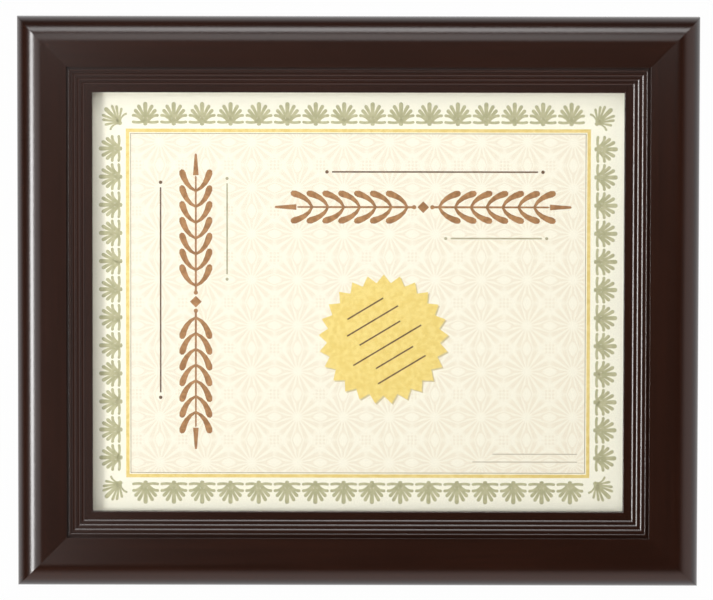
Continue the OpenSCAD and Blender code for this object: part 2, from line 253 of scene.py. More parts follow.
class Recipe:
    """A material's or world's node tree in the making."""

    def __init__(self, owner: Union[bpy.types.Material, bpy.types.World]) -> None:
        """Empties the owner's tree and keeps it."""
        owner.use_nodes = True
        self.tree = owner.node_tree
        self.tree.nodes.clear()

    def add(self, kind: str, settings: Optional[dict] = None, sockets: Optional[dict] = None,
            out: Union[str, int] = 0) -> Wire:
        """Adds any node.

        Args:
            kind: the node's type.
            settings: its own settings, made first.
            sockets: values or wires by socket name, identifier or number.
            out: the output that is wanted.

        Returns:
            A wire from that output.
        """
        def find(among: Iterable[bpy.types.NodeSocket], key: Union[str, int]) -> bpy.types.NodeSocket:
            """The socket with this number, identifier or name."""
            return next(s for i, s in enumerate(among) if key in (i, s.identifier, s.name))
        node = self.tree.nodes.new(kind)
        for key, value in (settings or {}).items():
            setattr(node, key, value)
        for key, value in (sockets or {}).items():
            if isinstance(value, Wire):
                self.tree.links.new(value.socket, find(node.inputs, key))
            else:
                find(node.inputs, key).default_value = value
        return Wire(self, find(node.outputs, out))

    def place(self) -> Wire:
        """Object coordinates, in metres."""
        return self.add("ShaderNodeTexCoord", out="Object")

    def grain_place(self) -> Wire:
        """The piece's own coordinates: across, along and through the stock, in millimetres."""
        return self.add("ShaderNodeAttribute", {"attribute_name": GRAIN}, out="Vector")

    def flat_place(self) -> Wire:
        """Object coordinates with the face laid flat: across, up and out, in metres."""
        return self.mapped(self.place(), turn=(-SIZES.rise, 0, 0))

    def mapped(self, place: Wire, scale: Triple = (1, 1, 1), turn: Triple = (0, 0, 0),
               shift: Triple = (0, 0, 0)) -> Wire:
        """Coordinates scaled, then turned by angles in degrees, then shifted."""
        return self.add("ShaderNodeMapping", {"vector_type": "POINT"}, {
            "Vector": place, "Scale": scale, "Location": shift,
            "Rotation": tuple(math.radians(angle) for angle in turn)})

    def noise(self, place: Wire, scale: Union[float, Triple], detail: float = 3.0, rough: float = 0.5) -> Wire:
        """Fractal noise, about 0 to 1, at one scale or at one for each axis."""
        if isinstance(scale, tuple):
            place, scale = self.mapped(place, scale), 1.0
        return self.add("ShaderNodeTexNoise", sockets={
            "Vector": place, "Scale": scale, "Detail": detail, "Roughness": rough})

    def wave(self, place: Wire, axis: str, scale: float, distortion: float = 0.0) -> Wire:
        """Even bands across an axis, 0 to 1."""
        return self.add("ShaderNodeTexWave", {"bands_direction": axis}, {
            "Vector": place, "Scale": scale, "Distortion": distortion})

    def along(self, way: Wire, axis: Triple) -> Wire:
        """Cosine of the angle between a direction and one of the flat frame's."""
        return self.add("ShaderNodeVectorMath", {"operation": "DOT_PRODUCT"}, {
            0: way, 1: tuple(SIZES.way(*axis))}, "Value")

    def first_looks(self) -> tuple[Wire, Wire, Wire]:
        """Tells who looks, before any matt surface has scattered the ray.

        Returns:
            Three wires, each 1 or 0: the camera, a gloss, the glass.
        """
        camera = self.add("ShaderNodeLightPath", out="Is Camera Ray")
        direct = (1 - camera.output("Diffuse Depth")).larger(0)
        return camera, camera.output("Is Glossy Ray") * direct, camera.output("Is Transmission Ray") * direct

    def blend(self, factor: Value, low: Tone, high: Tone) -> Wire:
        """A mix of two colours."""
        return self.add("ShaderNodeMix", {"data_type": "RGBA"}, {
            "Factor_Float": factor, "A_Color": low, "B_Color": high}, "Result_Color")

    def bump(self, height: Wire, depth: float, strength: float) -> Wire:
        """The normal of a surface with this height, where 1 stands for so many metres."""
        return self.add("ShaderNodeBump", sockets={"Height": height, "Distance": depth, "Strength": strength})

    def principled(self, **sockets: Union[Wire, float, Colour]) -> Wire:
        """A Principled shader; an underscore stands for a space in a socket's name."""
        return self.add("ShaderNodeBsdfPrincipled", sockets={
            key.replace("_", " "): value for key, value in sockets.items()})

    def mix(self, factor: Wire, low: Wire, high: Wire) -> Wire:
        """A mix of two shaders."""
        return self.add("ShaderNodeMixShader", sockets={0: factor, 1: low, 2: high})

    def end(self, kind: str, surface: Wire) -> None:
        """Ends the tree in an output node of a given type."""
        self.tree.links.new(surface.socket, self.tree.nodes.new(kind).inputs["Surface"])


GRAIN = "grain"


@dataclass(frozen=True)
class Finish:
    """A surface finish. Each kind fills in paint()."""

    name: str

    def material(self) -> bpy.types.Material:
        """The finish as a material, made once."""
        made = bpy.data.materials.get(self.name)
        if made is None:
            made = bpy.data.materials.new(self.name)
            recipe = Recipe(made)
            recipe.end("ShaderNodeOutputMaterial", self.paint(recipe))
        return made

    def paint(self, recipe: Recipe) -> Wire:
        """The finish's shader."""
        raise NotImplementedError


@dataclass(frozen=True)
class Lacquer(Finish):
    """Espresso stain under satin lacquer, its grain along the rail."""

    dark: Colour = shade(35, 14, 5)
    light: Colour = shade(41, 18, 8)
    roughness: float = 0.5
    coat_roughness: float = 0.25

    def paint(self, recipe: Recipe) -> Wire:
        """Long soft streaks, faint pores and the lacquer's slight waviness."""
        place = recipe.grain_place()
        streaks = recipe.noise(place, (0.45, 0.012, 0.45), 4.0, 0.6)
        clouds = recipe.noise(place, (0.05, 0.018, 0.05), 2.0)
        pores = recipe.noise(place, (5.0, 0.16, 5.0), 2.0, 0.7).rise(0.60, 0.72)
        waves = recipe.noise(place, 0.35, 1.0)
        tone = (streaks * 0.65 + clouds * 0.35).rise(0.36, 0.66)
        height = waves * 0.7 + streaks * 0.2 - pores * 0.25
        return recipe.principled(
            Base_Color=recipe.blend(pores * 0.3, recipe.blend(tone, self.dark, self.light), shade(24, 10, 6)),
            Roughness=self.roughness + streaks * 0.06 + pores * 0.1,
            Normal=recipe.bump(height, 0.00002, 0.15), Specular_IOR_Level=0.0,
            Coat_Weight=1.0, Coat_Roughness=self.coat_roughness, Coat_IOR=1.5)


@dataclass(frozen=True)
class BackStain(Finish):
    """The rails' back and rabbet: one thin coat of stain, unlacquered."""

    pale: Colour = shade(92, 62, 42)
    deep: Colour = shade(52, 31, 21)

    def paint(self, recipe: Recipe) -> Wire:
        """Open grain, with the stain taken unevenly."""
        place = recipe.grain_place()
        grain = recipe.noise(place, (1.6, 0.03, 1.6), 5.0, 0.65)
        patches = recipe.noise(place, (0.06, 0.025, 0.06))
        tone = (grain * 0.6 + patches * 0.4).rise(0.38, 0.64)
        return recipe.principled(
            Base_Color=recipe.blend(tone, self.deep, self.pale),
            Roughness=0.62 + grain * 0.2,
            Normal=recipe.bump(grain, 0.00012, 0.6))


@dataclass(frozen=True)
class Glass(Finish):
    """Clear float glass, which lights the print behind it as a bare print is lit."""

    def paint(self, recipe: Recipe) -> Wire:
        """Glass to the eye; clear to the lamps and to what the print scatters, so that a lamp counts once."""
        pane = recipe.principled(Base_Color=(0.985, 0.995, 0.99, 1), Roughness=0.0, IOR=1.5,
                                 Transmission_Weight=1.0)
        clear = recipe.add("ShaderNodeBsdfTransparent", sockets={"Color": (0.97, 0.98, 0.975, 1)})
        lamp = recipe.add("ShaderNodeLightPath", out="Is Shadow Ray")
        return recipe.mix(lamp.larger(lamp.output("Diffuse Depth")), pane, clear)


@dataclass(frozen=True)
class CertificatePaper(Finish):
    """Cream paper with a faint pattern inside the rules, drawn in cells of a square grid."""

    ground: Colour = shade(252, 244, 226)
    tint: Colour = shade(240, 226, 203)
    margin: Colour = shade(253, 247, 229)
    pitch: float = 23.2
    rosette_at: Point = (0.32, 0.48)
    rays: int = 16
    check_rate: float = 40.0
    lens_half_w: float = 0.17
    lens_taper: float = 90.0
    depth: float = 0.62
    panel_w: float = 114.6
    panel_h: float = 85.7
    panel_blur: float = 0.1

    def cell(self, x: Wire, y: Wire) -> Wire:
        """Draws one cell: a rosette of rays, checks at its corners, and a rimmed lens across each side.

        Args:
            x: distance across from the rosette's middle, in cells.
            y: distance up from it.

        Returns:
            The pattern, 0 to 1.
        """
        to_x, to_y = x.size() - 0.5, y.size() - 0.5
        reach = (x * x + y * y) ** 0.5
        angle = y.maths("ARCTAN2", y, x)
        rays = (angle * (self.rays / 2)).cosine().size().rise(0.4, 0.85)
        rosette = rays * reach.rise(0.07, 0.15) * reach.rise(0.58, 0.44)
        net = (to_x * self.check_rate).cosine().size() * (to_y * self.check_rate).cosine().size()
        checks = net.rise(0.3, 0.6) * (to_x * to_x + to_y * to_y).rise(0.03, 0.015)
        lens_x = to_x.size() / self.lens_half_w + (y * y) * self.lens_taper
        lens_y = to_y.size() / self.lens_half_w + (x * x) * self.lens_taper
        lens = lens_x.rise(1.0, 0.8).larger(lens_y.rise(1.0, 0.8))
        rims = (lens_x - 1.1).size().rise(0.3, 0.1).larger((lens_y - 1.1).size().rise(0.3, 0.1))
        return (rosette.larger(checks) * (1 - lens)).larger(rims)

    def paint(self, recipe: Recipe) -> Wire:
        """The pattern inside the rules, plain paper outside them, and fine fibres."""
        pitch = self.pitch * MM
        middle = Matrix.Rotation(-math.radians(SIZES.rise), 4, "X") @ SIZES.spot(0, -SIZES.print_drop, 0)
        grid = recipe.mapped(recipe.flat_place(), (1 / pitch,) * 3, shift=(-middle.x / pitch, -middle.y / pitch, 0))
        across = recipe.add("ShaderNodeSeparateXYZ", sockets={"Vector": grid}, out="X")
        up = across.output("Y")
        pattern = self.cell((across + self.rosette_at[0]).from_cell(), (up + self.rosette_at[1]).from_cell())
        inside = (across.size() * self.pitch).rise(self.panel_w, self.panel_w - self.panel_blur) \
            * (up.size() * self.pitch).rise(self.panel_h, self.panel_h - self.panel_blur)
        fibres = recipe.noise(recipe.place(), 2500.0)
        tone = recipe.blend(pattern * self.depth, self.ground, self.tint)
        return recipe.principled(
            Base_Color=recipe.blend(inside, self.margin, tone),
            Roughness=0.6 + fibres * 0.1,
            Normal=recipe.bump(fibres, 0.000015, 0.5))


@dataclass(frozen=True)
class Ink(Finish):
    """Printing ink on the paper, slightly uneven."""

    deep: Colour
    pale: Colour
    metallic: float = 0.0
    roughness: float = 0.55

    def paint(self, recipe: Recipe) -> Wire:
        """Two close tones in small patches."""
        patches = recipe.noise(recipe.place(), 420.0)
        return recipe.principled(
            Base_Color=recipe.blend(patches.rise(0.35, 0.65), self.deep, self.pale),
            Roughness=self.roughness + patches * 0.08, Metallic=self.metallic)


@dataclass(frozen=True)
class Hardboard(Finish):
    """Dark pressed fibreboard with a fine cloth imprint."""

    deep: Colour = shade(66, 53, 44)
    pale: Colour = shade(108, 90, 75)
    imprint: float = 900.0

    def paint(self, recipe: Recipe) -> Wire:
        """Matted fibres over a small woven imprint."""
        place = recipe.flat_place()
        fibres = recipe.noise(place, 600.0, 5.0, 0.65)
        clouds = recipe.noise(place, 25.0)
        across = recipe.wave(place, "X", self.imprint, 0.4)
        upward = recipe.wave(place, "Y", self.imprint, 0.4)
        tone = (fibres * 0.6 + clouds * 0.4).rise(0.35, 0.68)
        return recipe.principled(
            Base_Color=recipe.blend(tone, self.deep, self.pale),
            Roughness=0.6 + fibres * 0.2,
            Normal=recipe.bump(across * 0.3 + upward * 0.3 + fibres * 0.6, 0.00006, 0.6))


@dataclass(frozen=True)
class Kraft(Finish):
    """Brown kraft liner of the filler board."""

    def paint(self, recipe: Recipe) -> Wire:
        """Flecked paper over faint flutes."""
        place = recipe.flat_place()
        flecks = recipe.noise(place, 900.0, 4.0)
        flutes = recipe.wave(place, "Y", 40.0)
        return recipe.principled(
            Base_Color=recipe.blend(flecks.rise(0.35, 0.7), shade(160, 122, 82), shade(186, 150, 108)),
            Roughness=0.8, Normal=recipe.bump(flutes * 0.6 + flecks * 0.4, 0.0001, 0.5))


@dataclass(frozen=True)
class Steel(Finish):
    """Plated or bare sheet steel, brushed one way and lightly handled."""

    tone: Colour = shade(158, 160, 162)
    tarnish: Colour = shade(122, 120, 117)
    roughness: float = 0.28

    def paint(self, recipe: Recipe) -> Wire:
        """Short rolling marks, and patches where the plating has dulled."""
        place = recipe.place()
        marks = recipe.noise(place, (300, 4000, 4000), 3.0, 0.6)
        dull = recipe.noise(place, 160.0, 4.0)
        return recipe.principled(
            Base_Color=recipe.blend(dull.rise(0.40, 0.85) * 0.6, self.tone, self.tarnish),
            Metallic=1.0, Roughness=self.roughness + marks * 0.1 + dull * 0.12,
            Normal=recipe.bump(marks, 0.00001, 0.3))


LACQUER = Lacquer("espresso_lacquer")
BACK_STAIN = BackStain("back_stain")
GLASS = Glass("float_glass")
PAPER = CertificatePaper("certificate_paper")
OLIVE_INK = Ink("olive_ink", shade(180, 175, 136), shade(194, 188, 150))
GOLD_INK = Ink("gold_ink", shade(232, 203, 120), shade(242, 217, 142), 0.15, 0.4)
FINE_INK = Ink("fine_line_ink", shade(176, 160, 132), shade(190, 174, 148))
BROWN_INK = Ink("brown_ink", shade(92, 66, 44), shade(112, 82, 56))
BRONZE_INK = Ink("bronze_ink", shade(150, 104, 62), shade(178, 130, 84), 0.1, 0.45)
SAGE_INK = Ink("sage_ink", shade(168, 158, 122), shade(186, 177, 143))
SEAL_GOLD = Ink("seal_gold", shade(238, 208, 116), shade(245, 219, 134), 0.1, 0.42)
SEAL_SHADE = Ink("seal_shade", shade(206, 188, 144), shade(216, 198, 156))
BACKING = Hardboard("backing_hardboard")
LEG_BOARD = Hardboard("leg_hardboard", shade(74, 60, 50), shade(118, 98, 81))
KRAFT = Kraft("kraft_liner")
BRIGHT = Steel("bright_plating")
BUTTON_STEEL = Steel("button_steel", shade(130, 132, 136), shade(104, 104, 105), 0.34)
BRASSED = Steel("brassed_steel", shade(190, 170, 118), shade(150, 132, 92), 0.32)
BARE_STEEL = Steel("bare_steel", shade(140, 141, 143), shade(112, 110, 107), 0.4)


# Mesh building


def put(name: str, data: bpy.types.ID) -> bpy.types.Object:
    """Puts a new object with this name and data in the scene."""
    made = bpy.data.objects.new(name, data)
    bpy.context.scene.collection.objects.link(made)
    return made


@dataclass(frozen=True)
class Leaf:
    """A flat leaf along a curve from base to tip that is pulled towards bend, with its half widths there."""

    base: Point
    bend: Point
    tip: Point
    base_w: float
    tip_w: float

    def mirrored(self, side: int) -> "Leaf":
        """The leaf itself for side 1, or for -1 its mirror image across the Y axis."""
        return Leaf(*((side * x, y) for x, y in (self.base, self.bend, self.tip)), self.base_w, self.tip_w)


class Workpiece:
    """A mesh in the making, in millimetres in the flat frame unless a matrix says otherwise."""

    SHARP = math.radians(34)
    FACE_WEIGHT = 100

    def __init__(self) -> None:
        """Starts with nothing."""
        self.bm = bmesh.new()

    def move(self, place: Matrix) -> None:
        """Moves all of it by a matrix."""
        bmesh.ops.transform(self.bm, matrix=place, verts=self.bm.verts)

    def mesh(self, name: str) -> bpy.types.Mesh:
        """Ends the work as a mesh."""
        mesh = bpy.data.meshes.new(name)
        self.bm.to_mesh(mesh)
        self.bm.free()
        return mesh

    def take(self, other: "Workpiece", place: Matrix) -> None:
        """Ends another workpiece and adds it, moved by a matrix."""
        other.move(place)
        spare = other.mesh("spare")
        self.bm.from_mesh(spare)
        bpy.data.meshes.remove(spare)

    def bevel(self, geometry: list, offset: float, segments: int, corners: bool = False) -> None:
        """Rounds edges, or a flat face's corners, from an offset on either side."""
        bmesh.ops.bevel(self.bm, geom=geometry, offset=offset, offset_type="OFFSET", segments=segments,
                        profile=0.5, affect="VERTICES" if corners else "EDGES", clamp_overlap=not corners,
                        material=-1)

    def raise_faces(self, faces: Iterable[bmesh.types.BMFace], way: Vector) -> list[bmesh.types.BMFace]:
        """Extrudes faces and closes what they leave.

        Args:
            faces: the faces, which become the far end.
            way: how far, and where to.

        Returns:
            The faces at the far end.
        """
        made = bmesh.ops.extrude_face_region(self.bm, geom=list(faces), use_keep_orig=True)
        verts = [g for g in made["geom"] if isinstance(g, bmesh.types.BMVert)]
        bmesh.ops.translate(self.bm, vec=way, verts=verts)
        bmesh.ops.recalc_face_normals(self.bm, faces=self.bm.faces)
        return [g for g in made["geom"] if isinstance(g, bmesh.types.BMFace)]

    def petal(self, leaf: Leaf, steps: int = 8) -> None:
        """Adds a leaf, its tip round.

        Args:
            leaf: the leaf.
            steps: faces along it.
        """
        made = bmesh.ops.create_grid(self.bm, x_segments=1, y_segments=steps, size=0.5)
        a, b, c = Vector(leaf.base), Vector(leaf.bend), Vector(leaf.tip)
        round_from = 1 - min(0.5, leaf.tip_w / max((c - a).length, 1e-6))
        for vert in made["verts"]:
            t = math.sin((vert.co.y + 0.5) * math.pi / 2)
            side = 1 if vert.co.x > 0 else -1
            spine = a * (1 - t) ** 2 + b * 2 * t * (1 - t) + c * t ** 2
            along = ((b - a) * (1 - t) + (c - b) * t).normalized()
            half = leaf.base_w + (leaf.tip_w - leaf.base_w) * t
            if t > round_from:
                half *= math.sqrt(max(0.0, 1 - ((t - round_from) / (1 - round_from)) ** 2))
            vert.co = (spine.x + side * half * along.y, spine.y - side * half * along.x, 0)

    def disc(self, middle: Point, radius_x: float, radius_y: float, segments: int = 14) -> list[bmesh.types.BMVert]:
        """Adds a flat round or oval face and gives its vertices."""
        return bmesh.ops.create_circle(
            self.bm, cap_ends=True, segments=segments, radius=1.0,
            matrix=Matrix.Translation((*middle, 0)) @ Matrix.Diagonal((radius_x, radius_y, 1, 1)))["verts"]

    def bar(self, middle: Point, width: float, height: float, turn: float = 0.0) -> None:
        """Adds a flat oblong face, turned by some degrees."""
        bmesh.ops.create_grid(
            self.bm, x_segments=1, y_segments=1, size=0.5,
            matrix=Matrix.Translation((*middle, 0)) @ turned(turn) @ Matrix.Diagonal((width, height, 1, 1)))

    def ring(self, half_w: float, half_h: float, width: float) -> None:
        """Adds a flat oblong border with mitred corners.

        Args:
            half_w: half its outer width.
            half_h: half its outer height.
            width: the border's own width.
        """
        made = bmesh.ops.create_grid(self.bm, x_segments=1, y_segments=1, size=1.0,
                                     matrix=Matrix.Diagonal((half_w, half_h, 1, 1)))
        face = made["verts"][0].link_faces[0]
        bmesh.ops.inset_individual(self.bm, faces=[face], thickness=width, use_even_offset=True)
        bmesh.ops.delete(self.bm, geom=[face], context="FACES_ONLY")

    def print_on(self, top: float, thickness: float) -> None:
        """Turns the flat faces into a film.

        Args:
            top: the height of its top, in the flat frame.
            thickness: how thick it is.
        """
        bmesh.ops.remove_doubles(self.bm, verts=self.bm.verts, dist=1e-4)
        for vert in self.bm.verts:
            vert.co.z = top - thickness
        self.raise_faces(self.bm.faces[:], Vector((0, 0, thickness)))

    def piece(self, name: str, finishes: list[Finish], body: Body, slot: Slot,
              replaces: tuple[str, ...] = (), place: Matrix = SIZES.stand) -> None:
        """Args:
            name: the piece's name.
            finishes: its finishes, by material number.
            body: the body that it rides on.
            slot: not used.
            replaces: the CAD nodes that it stands for.
            place: takes the mesh to the standing frame, in metres.
        """
        self.move(place)
        self.bm.normal_update()
        for face in self.bm.faces:
            face.smooth = True
        for edge in self.bm.edges:
            edge.smooth = edge.is_manifold and edge.calc_face_angle(0.0) < self.SHARP
        mesh = self.mesh(name)
        for finish in finishes:
            mesh.materials.append(finish.material())
        piece = put(name, mesh)
        weigh = piece.modifiers.new("even_shading", "WEIGHTED_NORMAL")
        weigh.keep_sharp = True
        weigh.weight = self.FACE_WEIGHT
        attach(piece, body.value)
        if replaces:
            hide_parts(*replaces)
        LOG.info("%s: %d faces on %s", name, len(mesh.polygons), body.value)


def dress(finish: Finish, *nodes: str) -> None:
    """Gives CAD nodes their finish.

    Args:
        finish: the finish.
        nodes: the nodes' names.
    """
    for node in nodes:
        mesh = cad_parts[node].data
        mesh.materials.clear()
        mesh.materials.append(finish.material())
        LOG.info("%s: CAD node in %s", node, finish.name)


MERGE = 2e-6  # metres between corners that are one
FLAT = math.radians(1)  # bend below which faces are one
ARRIS = math.radians(40)  # bend above which an edge is an arris


def softened(node: str, name: str, width: float, finish: Finish, body: Body, slot: Slot) -> None:
    """Replaces a CAD node by a copy of itself with its arrises taken off.

    Args:
        node: the node.
        name: the new piece's name.
        width: how far the rounding reaches from each arris, in millimetres.
        finish: its finish.
        body: the body that it rides on.
        slot: the record's slot.
    """
    work = Workpiece()
    work.bm.from_mesh(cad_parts[node].data)
    bmesh.ops.remove_doubles(work.bm, verts=work.bm.verts, dist=MERGE)
    bmesh.ops.dissolve_limit(work.bm, angle_limit=FLAT, use_dissolve_boundaries=False,
                             verts=work.bm.verts, edges=work.bm.edges)
    arrises = [e for e in work.bm.edges if e.is_manifold and e.calc_face_angle(0.0) > ARRIS]
    work.bevel(arrises, width * MM, 2)
    work.piece(name, [finish], body, slot, (node,), Matrix.Identity(4))


# The sub-assemblies


class Assembly:
    """A sub-assembly, which may have new pieces, CAD nodes that stay, or both."""

    def build(self) -> None:
        """Builds the new pieces."""

    def dress(self) -> None:
        """Dresses the CAD nodes that stay."""


class Corner(NamedTuple):
    """A corner of the rails' section: distance from the outer edge, height, rounding and its facets."""

    s: float
    z: float
    radius: float = 0.0
    facets: int = 0


@dataclass
class Moulding(Assembly):
    """The stepped moulding and the four rails cut from it.

    The shares size a step's soft round. The slacks are how far a face's middle may lie from the back or
    from the rabbet's wall and still count as part of it.
    """

    shoulder_r: float = 12.04
    field_fall: float = 3.0
    field_nose: float = 0.16
    quirk_w: float = 1.2
    quirk_d: float = 0.9
    lip_w: float = 4.1
    lip_t: float = 4.4
    lip_nose: float = 0.4
    step_count: int = 4
    step_w: float = 2.2
    step_rise: float = 0.8
    round_share_w: float = 0.6
    round_share_h: float = 0.65
    round_share_r: float = 0.95
    riser_arris: float = 0.06
    arris: float = 0.25
    back_gap: float = 0.04
    mitre_w: float = 0.05
    mitre_d: float = 0.025
    back_slack: float = 0.01
    wall_slack: float = 0.05

    def field_z(self, s: float) -> float:
        """Height of the field at a distance from the outer edge."""
        fall = math.radians(self.field_fall)
        start = SIZES.rail_d - self.shoulder_r + self.shoulder_r / math.cos(fall)
        return start - (s - self.shoulder_r) * math.tan(fall)

    def step_s(self, i: int) -> float:
        """Distance of a step's riser from the outer edge."""
        return SIZES.rail_w - self.lip_w - (i - 1) * self.step_w

    def step_z(self, i: int) -> float:
        """Height of a step's tread."""
        return SIZES.rabbet_d + self.lip_t + i * self.step_rise

    def step(self, i: int) -> tuple[Corner, Corner, Corner]:
        """A step's foot, the top of its riser, and the soft round from there onto its tread."""
        tread = self.step_w if i < self.step_count else self.step_w / 2
        width, height = self.round_share_w * tread, self.round_share_h * self.step_rise
        radius = (width ** 2 + height ** 2) / (2 * height)
        start = self.step_s(i) - width
        return (Corner(self.step_s(i), self.step_z(i - 1)),
                Corner(self.step_s(i), self.step_z(i) - height, self.riser_arris, 2),
                Corner(start + radius * height / width, self.step_z(i), radius * self.round_share_r, 8))

    def corners(self) -> list[Corner]:
        """The section's corners, from the back's outer edge by the lip to the shoulder."""
        edge = self.step_s(self.step_count) - self.step_w / 2 - self.quirk_w
        top = self.step_z(self.step_count)
        return [
            Corner(0, self.back_gap, self.arris, 3),
            Corner(SIZES.rabbet_edge, self.back_gap, self.arris, 3),
            Corner(SIZES.rabbet_edge, SIZES.rabbet_d),
            Corner(SIZES.rail_w, SIZES.rabbet_d, self.arris, 3),
            Corner(SIZES.rail_w, self.step_z(0), self.lip_nose, 6),
            *(corner for i in range(1, self.step_count + 1) for corner in self.step(i)),
            Corner(edge + self.quirk_w, top, self.riser_arris, 2),
            Corner(edge + self.quirk_w, top - self.quirk_d),
            Corner(edge, top - self.quirk_d),
            Corner(edge, self.field_z(edge), self.field_nose, 4),
            Corner(0, self.field_z(0), self.shoulder_r, 40),
        ]

    def section(self, work: Workpiece) -> bmesh.types.BMFace:
        """Draws the section in the plane Y = 0, and rounds its corners.

        Args:
            work: where it is drawn.

        Returns:
            The section's face.
        """
        corners = self.corners()
        verts = [work.bm.verts.new((corner.s, 0, corner.z)) for corner in corners]
        work.bm.faces.new(verts)
        points = [vert.co.copy() for vert in verts]
        for i, corner in enumerate(corners):
            if corner.radius:
                back, on = points[i - 1] - points[i], points[(i + 1) % len(points)] - points[i]
                work.bevel([verts[i]], corner.radius / math.tan(back.angle(on) / 2), corner.facets, corners=True)
        return work.bm.faces[:][0]

    def rail(self, name: str, node: str, length: float, place: Matrix, offset: float) -> None:
        """Builds one rail: the section drawn out, then sawn at both mitres.

        Args:
            name: the new piece's name.
            node: the CAD rail that it replaces.
            length: its outer length.
            place: takes it from its own axes to the flat frame.
            offset: how far along the stock its grain is taken from.
        """
        finishes = [LACQUER, BACK_STAIN]
        work = Workpiece()
        work.raise_faces([self.section(work)], Vector((0, length, 0)))
        for spot, normal in (((0, 0, 0), (1, -1, 0)), ((0, length, 0), (1, 1, 0))):
            way = Vector(normal).normalized()
            cut = bmesh.ops.bisect_plane(
                work.bm, geom=work.bm.verts[:] + work.bm.edges[:] + work.bm.faces[:], dist=1e-5,
                plane_co=Vector(spot) - way * self.mitre_d, plane_no=way, clear_outer=True)["geom_cut"]
            edges = [g for g in cut if isinstance(g, bmesh.types.BMEdge)]
            cap = bmesh.ops.contextual_create(work.bm, geom=edges)["faces"]
            bmesh.ops.recalc_face_normals(work.bm, faces=work.bm.faces)
            bmesh.ops.inset_individual(work.bm, faces=cap, thickness=self.mitre_w, depth=self.mitre_d,
                                       use_even_offset=True)
        layer = work.bm.verts.layers.float_vector.new(GRAIN)
        for vert in work.bm.verts:
            vert[layer] = vert.co + Vector((0, offset, 0))
        for face in work.bm.faces:
            middle = face.calc_center_median()
            at_back = middle.z < self.back_gap + self.back_slack
            in_rabbet = (middle.z < SIZES.rabbet_d + self.back_slack
                         and middle.x > SIZES.rabbet_edge - self.wall_slack)
            face.material_index = finishes.index(BACK_STAIN if at_back or in_rabbet else LACQUER)
        work.move(place)
        work.piece(name, finishes, Body.FRAME, Slot.WOOD, (node,))

    def build(self) -> None:
        """Builds the four rails."""
        w, h = SIZES.width, SIZES.height
        for side, length, corner, quarters, offset in (
                ("left", h, (0, 0, 0), 0, 0), ("right", h, (w, h, 0), 2, 411),
                ("bottom", w, (w, 0, 0), 1, 823), ("top", w, (0, h, 0), -1, 1231)):
            place = Matrix.Translation(corner) @ turned(90 * quarters)
            self.rail(f"rail_{side}", f"{side}_rail", length, place, offset)

    def dress(self) -> None:
        """Dresses the nails in the mitres."""
        dress(BARE_STEEL, "corner_v_nails")


PALMETTE_TIP = Leaf((0, 1), (0, 10), (0, 20.2), 1.4, 2.3)
PALMETTE_LEAVES = (
    Leaf((1.5, 5.0), (3.2, 10.5), (7.5, 17.3), 1.1, 1.95),
    Leaf((2.4, 3.4), (5.6, 7.4), (10.9, 12.8), 1.1, 1.95),
    Leaf((3.2, 1.6), (8.0, 8.0), (13.4, 6.6), 1.0, 1.6),
    Leaf((2.0, 0.6), (7.5, -0.9), (13.4, 0.7), 1.3, 1.4))
CORNER_LEAVES = (
    Leaf((1.4, 4.5), (3.2, 9.0), (6.9, 17.3), 0.8, 1.5),
    Leaf((2.2, 3.4), (5.4, 7.5), (10.0, 13.8), 0.8, 1.5),
    Leaf((2.8, 2.2), (6.6, 4.8), (12.0, 8.3), 0.8, 1.4),
    Leaf((2.2, 0.6), (8.2, 3.2), (11.7, 0.4), 0.7, 1.2))


